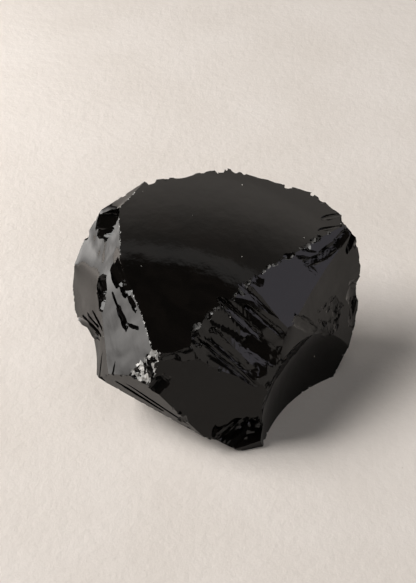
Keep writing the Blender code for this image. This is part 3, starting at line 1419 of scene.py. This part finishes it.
@dataclass
class Stone:
    """The chunk of glass: broken out of its block, rounded, scarred, chipped and dressed.

    Attributes:
        material: The glass.
        crushed_frost: How white the crushed corner is, from 0 to 1.
        soft_reach: How far the rounding of a soft ridge goes, in metres.
        hard_reach: How far a sharp ridge keeps the rounding away, in metres.
        soft_passes: How often the rounding is applied.
    """

    material: bpy.types.Material
    crushed_frost: float = 1.0
    soft_reach: float = 6.5 * MM
    hard_reach: float = 1.5 * MM
    soft_passes: int = 90

    def build(self) -> bpy.types.Object:
        """Make the stone.

        Returns:
            The finished piece.
        """
        stone = self.break_faces()
        stone = self.round_ridges(stone)
        stone = break_away(stone, [*self.single_scars(stone), *self.strewn_scars(stone)])
        stone = break_away(stone, self.ridge_chips(stone))
        self.frost(stone)
        self.shade(stone)
        return stone

    def break_faces(self) -> bpy.types.Object:
        """Break the block down to the faces of the stone.

        Returns:
            The stone with its bare fractures.
        """
        bpy.ops.mesh.primitive_cube_add(size=BLOCK_SIDE, location=HEART)
        block = bpy.context.object
        carrier = put_in_scene("sheet_carrier", bpy.data.meshes.new("sheet_carrier"))
        tree = SheetWriter().write()
        solid = read_array(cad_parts[NODE].data.vertices, "co", 3)
        sheets = [FractureSheet(fracture, tree, solid) for fracture in FRACTURES]
        cutters = [sheet.build(carrier, self.material) for sheet in sheets]
        bpy.data.objects.remove(carrier, do_unlink=True)
        return break_away(block, cutters)

    def round_ridges(self, stone: bpy.types.Object) -> bpy.types.Object:
        """Blend the faces that meet in a soft ridge into each other.

        Args:
            stone: The stone, which is removed.

        Returns:
            The rounded stone.
        """
        ridges = RidgeLines(stone)
        soft = ridges.between(SOFT_RIDGES)
        near_soft = np.clip(2.0 * (1.0 - ridges.distance(soft) / self.soft_reach), 0.0, 1.0)
        near_hard = np.clip(ridges.distance(ridges.free & ~soft) / self.hard_reach, 0.0, 1.0)
        softness = stone.data.attributes.new("softness", "FLOAT", "POINT")
        softness.data.foreach_set("value", (near_soft * near_hard).astype(np.float32))
        rounded = self.run_tree(PIECE, stone, soft_ridge_tree(), {"Passes": self.soft_passes})
        bpy.data.objects.remove(stone, do_unlink=True)
        return rounded

    def run_tree(
        self, name: str, carrier: bpy.types.Object, tree: Tree, values: dict[str, object]
    ) -> bpy.types.Object:
        """Run a tree on an object and add the result to the scene.

        Args:
            name: Name of the new object.
            carrier: The object that the tree runs on.
            tree: The Geometry Nodes tree.
            values: Its inputs apart from Material.

        Returns:
            The new object.
        """
        return put_in_scene(name, apply_nodes(carrier, tree, {**values, "Material": self.material}))

    def single_scars(self, stone: bpy.types.Object) -> list[bpy.types.Object]:
        """Make the cutters of the single scars.

        Args:
            stone: The stone that they lie on.

        Returns:
            One cutter for each group of scars.
        """
        surface = BVHTree.FromObject(stone, bpy.context.evaluated_depsgraph_get())
        cutters = []
        tree = scar_tree()
        for count, group in enumerate(SCAR_GROUPS):
            places = [scar.place(surface, group.squareness) for scar in group.scars]
            middles, turns, sizes = (np.array([place[part] for place in places]) for part in range(3))
            carrier = point_cloud(group.name, middles)
            point_vectors(carrier.data, "turn", turns)
            point_vectors(carrier.data, "half_sizes", sizes)
            values = inputs_of(group, ("roughness",), ("squareness",))
            values |= {"Seed": count, "Mark": FIRST_SCAR_MARK + count}
            cutters.append(self.run_tree(group.name, carrier, tree, values))
            bpy.data.objects.remove(carrier, do_unlink=True)
        return cutters

    def strewn_scars(self, stone: bpy.types.Object) -> list[bpy.types.Object]:
        """Make the cutters of the random scars.

        Args:
            stone: The stone that they lie on.

        Returns:
            One cutter for each field of scars.
        """
        cutters = []
        tree = scar_field_tree()
        for count, field in enumerate(SCAR_FIELDS, start=len(SCAR_GROUPS)):
            lengths = ("radius", "spacing", "smallest", "largest", "roughness")
            values = inputs_of(field, lengths, ("sink", "seed"))
            values |= {"Middle": [value * MM for value in field.middle], "Mark": FIRST_SCAR_MARK + count}
            cutters.append(self.run_tree(field.name, stone, tree, values))
        return cutters

    def ridge_chips(self, stone: bpy.types.Object) -> list[bpy.types.Object]:
        """Make the cutters of the small flakes along the ridges.

        Args:
            stone: The stone that they lie on.

        Returns:
            One cutter for each run of flakes that has a ridge.
        """
        ridges = RidgeLines(stone)
        tree = ridge_chip_tree()
        cutters = []
        for count, run in enumerate(CHIP_RUNS):
            lines = ridges.take(run)
            if lines is None:
                continue
            values = inputs_of(run, ("spacing", "smallest", "largest"), ("stand_off", "seed"))
            cutters.append(self.run_tree(run.name, lines, tree, {**values, "Mark": FIRST_CHIP_MARK + count}))
            bpy.data.objects.remove(lines, do_unlink=True)
        return cutters

    def frost(self, stone: bpy.types.Object) -> None:
        """Store on each face how white its crushed glass is.

        Args:
            stone: The finished stone.
        """
        marks = face_marks(stone.data)
        white = np.zeros(len(marks), dtype=np.float32)
        white[marks == MARKS["crushed_corner"]] = self.crushed_frost
        for count, run in enumerate(CHIP_RUNS):
            white[marks == FIRST_CHIP_MARK + count] = run.frost
        stone.data.attributes.new("frost", "FLOAT", "FACE").data.foreach_set("value", white)

    def shade(self, stone: bpy.types.Object) -> None:
        """Shade the faces smooth, with sharp edges where two breaks meet.

        Args:
            stone: The finished stone.
        """
        mesh = stone.data
        mesh.materials.clear()
        mesh.materials.append(self.material)
        mesh.shade_smooth()
        mesh.set_sharp_from_angle(angle=SHARP_ANGLE)
        sharp = read_array(mesh.edges, "use_edge_sharp", 1, bool)[:, 0]
        ridges = RidgeLines(stone)
        mesh.edges.foreach_set("use_edge_sharp", sharp | ridges.free & ~ridges.between(SOFT_RIDGES))


# ----------------------------------------------------------------------------
# Finishes
# ----------------------------------------------------------------------------


def specks_group() -> Tree:
    """Write the shader group that strews small specks, for dust and for grit.

    Returns:
        The group, with inputs Vector, Scale, Size and Cover and output Mask.
    """
    w = GroupWriter("specks", "ShaderNodeTree")
    w.sockets("Vector", "Vector")
    w.sockets("Float", "Scale", "Size", "Cover")
    w.sockets("Float", "Mask", side="OUTPUT")
    bent = w.noise(w.given("Vector"), w.math("MULTIPLY", w.given("Scale"), 9.0))
    at = w.vector("MULTIPLY_ADD", bent, (0.1 * MM, 0.1 * MM, 0.1 * MM), w.given("Vector"))
    spots = w.cells(at, w.given("Scale"))
    red, green, _ = w.split(spots.outputs["Color"])
    size = w.math("MULTIPLY", w.given("Size"), w.math("MULTIPLY_ADD", green, 0.8, 0.4))
    inside = w.math("LESS_THAN", spots.outputs["Distance"], size)
    kept = w.math("LESS_THAN", red, w.given("Cover"))
    w.feed(w.leave.inputs["Mask"], w.math("MULTIPLY", inside, kept))
    return w.tree


class MaterialWriter(TreeWriter):
    """Writes the nodes of a new material.

    Attributes:
        material: The material.
        shader: Its Principled BSDF.
        at: The place on the object.
    """

    def __init__(self, name: str, shine: float) -> None:
        """Start a material.

        Args:
            name: Name of the material.
            shine: Strength of its mirror seen face on.
        """
        self.material = bpy.data.materials.new(name)
        self.material.use_nodes = True
        super().__init__(self.material.node_tree)
        self.shader = self.tree.nodes["Principled BSDF"]
        self.shader.inputs["Specular IOR Level"].default_value = shine
        self.at = self.node("ShaderNodeTexCoord").outputs["Object"]

    def blend(self, factor: object, first: object, second: object) -> Socket:
        """Mix two colours.

        Args:
            factor: 0 for the first, 1 for the second.
            first: A socket, or red, green and blue.
            second: A socket, or red, green and blue.

        Returns:
            The mixed colour.
        """
        made = self.node("ShaderNodeMix", data_type="RGBA")
        for socket, value in zip(live(made.inputs), (factor, first, second)):
            self.feed(socket, (*value, 1.0) if isinstance(value, tuple) else value)
        return live(made.outputs)[0]

    def specks(self, group: Tree, spacing: float, size: float, cover: float) -> Socket:
        """Place the shared specks.

        Args:
            group: The shared specks group.
            spacing: Distance between specks in millimetres.
            size: Radius of a speck against the spacing.
            cover: Share of the specks that are kept.

        Returns:
            The mask.
        """
        made = self.node("ShaderNodeGroup", node_tree=group)
        self.fill(made, {"Vector": self.at, "Scale": 1.0 / (spacing * MM), "Size": size, "Cover": cover})
        return made.outputs["Mask"]

    def bump(self, height: Socket, strength: float, distance: float) -> None:
        """Make the surface uneven by a bump.

        Args:
            height: The height.
            strength: How strongly it shows.
            distance: Height of 1 in millimetres.
        """
        made = self.node("ShaderNodeBump")
        self.fill(made, {"Strength": strength, "Distance": distance * MM, "Height": height})
        self.feed(self.shader.inputs["Normal"], made.outputs[0])


@dataclass(frozen=True)
class GlassFinish:
    """The volcanic glass: near black, glossy, with faint flow bands, dust and frost.

    Scales are in features per metre.

    Attributes:
        specks_group: The shared specks group.
        dark: Colour of the darkest glass.
        warm: Colour of the warmer flow bands.
        dust: Colour of dust specks.
        frost: Colour of crushed glass.
        band_length: Thickness of the flow bands in millimetres.
        band_dip: Direction across the bands.
        band_bend: How far the bands are bent, in band lengths.
        band_bend_scale: Scale of their bends.
        dust_spacing: Distance between dust specks in millimetres.
        dust_size: Radius of a speck against the spacing.
        dust_cover: Share of the specks that are kept.
        shard_size: Size of the white shards in crushed glass, in millimetres.
        shard_grain: Scale of the powder that breaks up the shards' edges.
        ior: Index of refraction.
        shine: Strength of the mirror seen face on; 0.5 is that of clean glass.
        roughness: Roughness of clean glass.
        film: Roughness that the uneven film adds.
        film_scale: Scale of the film's clouds.
        dulling: Roughness that dust and crushing add.
        wave_scale: Scale of the fine waviness.
        wave_height: Height of the fine waviness in millimetres.
        wave_strength: How strongly it shows.
        grit_scale: Scale of the grit in dull places.
    """

    specks_group: Tree
    dark: tuple[float, float, float] = (0.0032, 0.0027, 0.0023)
    warm: tuple[float, float, float] = (0.0060, 0.0048, 0.0040)
    dust: tuple[float, float, float] = (0.42, 0.40, 0.37)
    frost: tuple[float, float, float] = (0.72, 0.71, 0.69)
    band_length: float = 6.0
    band_dip: tuple[float, float, float] = (0.35, 0.25, 0.9)
    band_bend: float = 2.5
    band_bend_scale: float = 60.0
    dust_spacing: float = 3.4
    dust_size: float = 0.06
    dust_cover: float = 0.15
    shard_size: float = 0.9
    shard_grain: float = 1400.0
    ior: float = 1.49
    shine: float = 0.25
    roughness: float = 0.025
    film: float = 0.03
    film_scale: float = 45.0
    dulling: float = 0.4
    wave_scale: float = 260.0
    wave_height: float = 0.06
    wave_strength: float = 0.35
    grit_scale: float = 2600.0

    def material(self) -> bpy.types.Material:
        """Write the glass material.

        Returns:
            The material.
        """
        w = MaterialWriter("obsidian", self.shine)
        w.shader.inputs["IOR"].default_value = self.ior
        powder = self.powder(w)
        dust = w.specks(self.specks_group, self.dust_spacing, self.dust_size, self.dust_cover)
        colour = w.blend(powder, self.flow_bands(w), self.frost)
        w.feed(w.shader.inputs["Base Color"], w.blend(dust, colour, self.dust))

        # Smooth glass with a thin uneven film, dull where crushed or dusty
        film = w.smooth_step(w.noise(w.at, self.film_scale, 4.0, 0.6), 0.35, 0.75)
        gloss = w.math("MULTIPLY_ADD", film, self.film, self.roughness)
        dull = w.math("MAXIMUM", powder, dust)
        w.feed(w.shader.inputs["Roughness"], w.math("MULTIPLY_ADD", dull, self.dulling, gloss))

        wave = w.noise(w.at, self.wave_scale, 3.0, 0.5)
        grit = w.math("MULTIPLY", w.noise(w.at, self.grit_scale, 2.0), w.math("MULTIPLY", dull, 0.5))
        w.bump(w.math("ADD", wave, grit), self.wave_strength, self.wave_height)
        return w.material

    def flow_bands(self, w: MaterialWriter) -> Socket:
        """Write the flow bands that dip through the stone.

        Args:
            w: Writer of the material.

        Returns:
            Their colour.
        """
        dip = w.vector("DOT_PRODUCT", w.at, self.band_dip)
        layer = w.combine(w.math("MULTIPLY", dip, 1.0 / (self.band_length * MM)), 0.0, 0.0)
        bend = w.vector("SCALE", w.noise(w.at, self.band_bend_scale, 3.0), self.band_bend)
        band = w.noise(w.vector("ADD", layer, bend), 1.0, 3.0, 0.6)
        return w.blend(w.smooth_step(band, 0.35, 0.7), self.dark, self.warm)

    def powder(self, w: MaterialWriter) -> Socket:
        """Write the crushed glass, in which some shards are white and the rest stays black.

        Args:
            w: Writer of the material.

        Returns:
            How white the glass is.
        """
        white = w.node("ShaderNodeAttribute", attribute_name="frost").outputs["Fac"]
        stretched = w.vector("MULTIPLY", w.at, (1.0, 1.0, 0.6))
        shards = w.cells(stretched, 1.0 / (self.shard_size * MM))
        pick, shade, _ = w.split(shards.outputs["Color"])
        grain = w.math("SUBTRACT", w.noise(w.at, self.shard_grain, 2.0), 0.5)
        pick = w.math("ADD", pick, w.math("MULTIPLY", grain, 0.8))
        powder = w.smooth_step(pick, 0.52, 0.60)
        powder = w.math("MULTIPLY", powder, w.math("MULTIPLY_ADD", shade, 0.6, 0.4))
        return w.math("MULTIPLY", powder, white)


@dataclass(frozen=True)
class PlasterFinish:
    """The pale floor: matt plaster with soft clouds and a few specks of grit.

    Attributes:
        specks_group: The shared specks group.
        light: Colour of the lighter clouds.
        shade: Colour of the darker clouds.
        grit: Colour of the grit.
        cloud_size: Size of the clouds in millimetres.
        grit_spacing: Distance between grains of grit in millimetres.
        grit_size: Radius of a grain against the spacing.
        grit_cover: Share of the grains that are kept.
        grit_strength: How strongly the grit's colour shows.
        shine: Strength of the mirror seen face on.
        roughness: Roughness of the plaster.
        grain_scale: Bumps per metre.
        grain_height: Height of the bumps in millimetres.
        grain_strength: How strongly they show.
    """

    specks_group: Tree
    light: tuple[float, float, float] = (0.82, 0.760, 0.712)
    shade: tuple[float, float, float] = (0.77, 0.708, 0.655)
    grit: tuple[float, float, float] = (0.60, 0.54, 0.48)
    cloud_size: float = 45.0
    grit_spacing: float = 2.6
    grit_size: float = 0.07
    grit_cover: float = 0.12
    grit_strength: float = 0.6
    shine: float = 0.2
    roughness: float = 0.9
    grain_scale: float = 330.0
    grain_height: float = 0.5
    grain_strength: float = 0.45

    def material(self) -> bpy.types.Material:
        """Write the plaster material.

        Returns:
            The material.
        """
        w = MaterialWriter("plaster", self.shine)
        w.shader.inputs["Roughness"].default_value = self.roughness
        cloud = w.noise(w.at, 1.0 / (self.cloud_size * MM), 4.0, 0.55)
        colour = w.blend(w.smooth_step(cloud, 0.3, 0.7), self.shade, self.light)
        grit = w.specks(self.specks_group, self.grit_spacing, self.grit_size, self.grit_cover)
        colour = w.blend(w.math("MULTIPLY", grit, self.grit_strength), colour, self.grit)
        w.feed(w.shader.inputs["Base Color"], colour)
        w.bump(w.noise(w.at, self.grain_scale, 5.0, 0.62), self.grain_strength, self.grain_height)
        return w.material


# ----------------------------------------------------------------------------
# Studio
# ----------------------------------------------------------------------------


@dataclass(frozen=True)
class Softbox:
    """A flat soft light, given by where it hangs as seen from the stone.

    Attributes:
        name: Name of the light.
        heading: Bearing in degrees, from +X towards +Y.
        rise: Height angle in degrees.
        distance: Distance from the stone in metres.
        width: Width in metres.
        height: Height in metres.
        radiance: Brightness of its surface, against 1 for a white sheet in the scene.
        colour: Its colour.
        mirrored: True where the glass shows its reflection.
    """

    name: str
    heading: float
    rise: float
    distance: float
    width: float
    height: float
    radiance: float
    colour: tuple[float, float, float] = (1.0, 1.0, 1.0)
    mirrored: bool = True

    def build(self, aim: Vector) -> None:
        """Make the light, facing the stone.

        Args:
            aim: The point it faces.
        """
        out = bearing(self.heading, self.rise)
        data = bpy.data.lights.new(self.name, "AREA")
        data.shape = "RECTANGLE"
        data.size = self.width
        data.size_y = self.height
        data.color = self.colour
        data.energy = self.radiance * math.pi * self.width * self.height
        light = bpy.data.objects.new(self.name, data)
        light.location = aim + out * self.distance
        light.rotation_mode = "QUATERNION"
        light.rotation_quaternion = (-out).to_track_quat("-Z", "Y")
        light.visible_camera = False
        light.visible_glossy = self.mirrored
        bpy.context.scene.collection.objects.link(light)


@dataclass(frozen=True)
class Glow:
    """A soft-edged bright patch of the room, far away, by its bearing in degrees.

    Attributes:
        heading: Bearing of its middle, from +X towards +Y.
        rise: Height angle of its middle.
        half_width: Half of its width.
        half_height: Half of its height.
        soft: Half of the width of its soft edge.
        radiance: Brightness, against 1 for a white sheet in the scene.
        colour: Its colour.
        slope: Degrees that it falls for each degree of bearing.
    """

    heading: float
    rise: float
    half_width: float
    half_height: float
    soft: float
    radiance: float
    colour: tuple[float, float, float] = (1.0, 1.0, 1.0)
    slope: float = 0.0

    def write(self, w: TreeWriter, look: Socket) -> Socket:
        """Write the patch into the room's tree.

        Args:
            w: Writer of the room's tree.
            look: The direction looked along.

        Returns:
            The patch's colour.
        """
        turned = w.node("ShaderNodeVectorRotate", rotation_type="Z_AXIS")
        w.feed(turned.inputs["Vector"], look)
        turned.inputs["Angle"].default_value = -math.radians(self.heading)
        x, y, z = w.split(turned.outputs[0])
        turn = w.math("ARCTAN2", y, x)
        level = w.math("MULTIPLY_ADD", turn, self.slope, w.math("ARCSINE", z))
        side = w.math("ABSOLUTE", turn)
        lift = w.math("ABSOLUTE", w.math("SUBTRACT", level, math.radians(self.rise)))
        soft = math.radians(self.soft)
        mask = 1.0
        for value, half in ((side, self.half_width), (lift, self.half_height)):
            edge = math.radians(half)
            beyond = w.smooth_step(value, edge - soft, edge + soft)
            mask = w.math("MULTIPLY", w.math("SUBTRACT", 1.0, beyond), mask)
        tint = [self.radiance * part for part in self.colour]
        return w.vector("SCALE", w.combine(*tint), mask)


@dataclass(frozen=True)
class Reflector:
    """An upright glowing card near the stone, brightest in its middle.

    Its fades run from full glow to none between two places on the card, which is
    1 wide and 1 high with 0 in its middle.

    Attributes:
        heading: Bearing from the stone in degrees.
        distance: Distance from the stone in metres.
        width: Width in metres.
        height: Height in metres.
        radiance: Brightness of its middle.
        colour: Its colour.
        side_fade: Fade towards its sides.
        top_fade: Fade towards its top.
        foot_fade: Fade towards its foot, where foot_glow is left.
        foot_glow: Share of the glow at its foot.
        lift: Height of its lower edge above the floor in metres.
    """

    heading: float
    distance: float
    width: float
    height: float
    radiance: float
    colour: tuple[float, float, float] = (1.0, 0.985, 0.96)
    side_fade: tuple[float, float] = (0.08, 0.5)
    top_fade: tuple[float, float] = (-0.2, 0.5)
    foot_fade: tuple[float, float] = (-0.5, -0.33)
    foot_glow: float = 0.34
    lift: float = 1.0 * MM

    def build(self) -> None:
        """Make the card."""
        bpy.ops.mesh.primitive_plane_add(size=1.0)
        card = bpy.context.object
        card.name = "reflector"
        out = bearing(self.heading, 0.0)
        middle = out * self.distance + Vector((0.0, 0.0, self.height / 2 + self.lift))
        turn = (-out).to_track_quat("Z", "Y").to_matrix().to_4x4()
        scale = Matrix.Diagonal((self.width, self.height, 1.0, 1.0))
        card.matrix_world = Matrix.Translation(middle) @ turn @ scale
        card.visible_camera = False
        card.visible_shadow = False
        card.data.materials.append(self.material())

    def material(self) -> bpy.types.Material:
        """Write the card's glow.

        Returns:
            The material.
        """
        glow = bpy.data.materials.new("reflector_glow")
        glow.use_nodes = True
        glow.node_tree.nodes.clear()
        w = TreeWriter(glow.node_tree)
        x, y, _ = w.split(w.node("ShaderNodeTexCoord").outputs["Object"])
        side = w.smooth_step(w.math("ABSOLUTE", x), *self.side_fade)
        top = w.smooth_step(y, *self.top_fade)
        mask = w.math("MULTIPLY", w.math("SUBTRACT", 1.0, side), w.math("SUBTRACT", 1.0, top))
        rest = w.smooth_step(y, *self.foot_fade)
        mask = w.math("MULTIPLY", mask, w.math("MULTIPLY_ADD", rest, 1.0 - self.foot_glow, self.foot_glow))
        shine = w.node("ShaderNodeEmission")
        w.fill(shine, {"Color": (*self.colour, 1.0), "Strength": w.math("MULTIPLY", mask, self.radiance)})
        w.fill(w.node("ShaderNodeOutputMaterial"), {"Surface": shine.outputs[0]})
        return glow


SOFTBOXES = (
    Softbox("window", 177, 45, 3.0, 1.7, 1.5, 12.2, (1.0, 0.985, 0.96)),
    Softbox("fill", -60, 62, 1.6, 1.6, 1.4, 0.68, mirrored=False),
)
REFLECTOR = Reflector(156, 0.27, 0.36, 0.15, 6.3, (1.0, 0.965, 0.93))
WARM = (1.07, 0.985, 0.90)
COOL = (1.02, 0.97, 1.10)
GLOWS = (
    Glow(80, 49, 34, 13, 5, 1.45, WARM),
    Glow(82, 63.0, 36, 6.2, 0.8, 0.29, WARM, 0.08),
    Glow(85, 68.3, 38, 1.1, 0.6, 0.44, slope=0.08),
    Glow(-4, 54, 20, 11, 3, 1.6, COOL),
    Glow(-8, 25, 25, 17, 4, 0.9, WARM),
    Glow(-84, 44, 19, 20, 5, 1.0, WARM),
)


@dataclass(frozen=True)
class Studio:
    """Floor, room, lights and camera.

    Attributes:
        floor_side: Side of the floor in metres.
        low_sky: Brightness of the room at the horizon.
        high_sky: Brightness of the room overhead.
        aim: The point that the camera looks at, in metres.
        light_aim: The point that the lights face, in metres.
        camera_rise: Height angle of the camera in degrees.
        camera_distance: Distance of the camera in metres.
        focal_pixels: Focal length in pixels of the picture.
        long_side_pixels: Height of the picture in pixels.
        sensor: Size of the camera's sensor in millimetres.
    """

    floor_side: float = 6.0
    low_sky: float = 0.07
    high_sky: float = 0.02
    aim: Vector = Vector((-2.3, 2.7, 28.0)) * MM
    light_aim: Vector = Vector((0.0, 0.0, 20.0)) * MM
    camera_rise: float = 42.0
    camera_distance: float = 0.400
    focal_pixels: float = 1460.0
    long_side_pixels: float = 583.0
    sensor: float = 36.0

    def build(self, specks: Tree) -> None:
        """Make everything round the stone.

        Args:
            specks: The shared specks group.
        """
        self.make_floor(PlasterFinish(specks).material())
        self.make_room()
        for softbox in SOFTBOXES:
            softbox.build(self.light_aim)
        REFLECTOR.build()
        self.make_camera()

    def make_floor(self, plaster: bpy.types.Material) -> None:
        """Lay the pale floor.

        Args:
            plaster: Its material.
        """
        bpy.ops.mesh.primitive_plane_add(size=self.floor_side)
        floor = bpy.context.object
        floor.name = "floor"
        floor.data.materials.append(plaster)

    def make_room(self) -> None:
        """Set the dim room with its soft bright patches."""
        room = bpy.data.worlds.new("room")
        room.use_nodes = True
        w = TreeWriter(room.node_tree)
        look = w.node("ShaderNodeTexCoord").outputs["Generated"]
        height = w.smooth_step(w.split(look)[2], 0.0, 0.9)
        grey = w.math("MULTIPLY_ADD", height, self.high_sky - self.low_sky, self.low_sky)
        light = w.combine(grey, grey, grey)
        for glow in GLOWS:
            light = w.vector("ADD", light, glow.write(w, look))
        w.feed(room.node_tree.nodes["Background"].inputs["Color"], light)
        room.cycles_visibility.diffuse = False
        bpy.context.scene.world = room

    def make_camera(self) -> None:
        """Set up the camera."""
        data = bpy.data.cameras.new("camera")
        data.sensor_width = self.sensor
        data.lens = self.focal_pixels / self.long_side_pixels * data.sensor_width
        data.clip_start = 0.01
        back = bearing(-90.0, self.camera_rise)
        camera = bpy.data.objects.new("camera", data)
        camera.location = self.aim + back * self.camera_distance
        camera.rotation_mode = "QUATERNION"
        camera.rotation_quaternion = (-back).to_track_quat("-Z", "Y")
        bpy.context.scene.collection.objects.link(camera)
        bpy.context.scene.camera = camera


def main() -> None:
    """Build the studio and the stone in order, and tell the frame about the stone."""
    logging.basicConfig(level=logging.INFO, format="%(name)s: %(message)s")
    bpy.context.scene.view_settings.view_transform = "Standard"
    specks = specks_group()
    stone = Stone(GlassFinish(specks).material()).build()
    LOG.info("%s: %d faces", stone.name, len(stone.data.polygons))
    Studio().build(specks)
    LOG.info("studio ready")
    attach(stone, BODY)
    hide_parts(NODE)


if __name__ == "__main__":
    main()
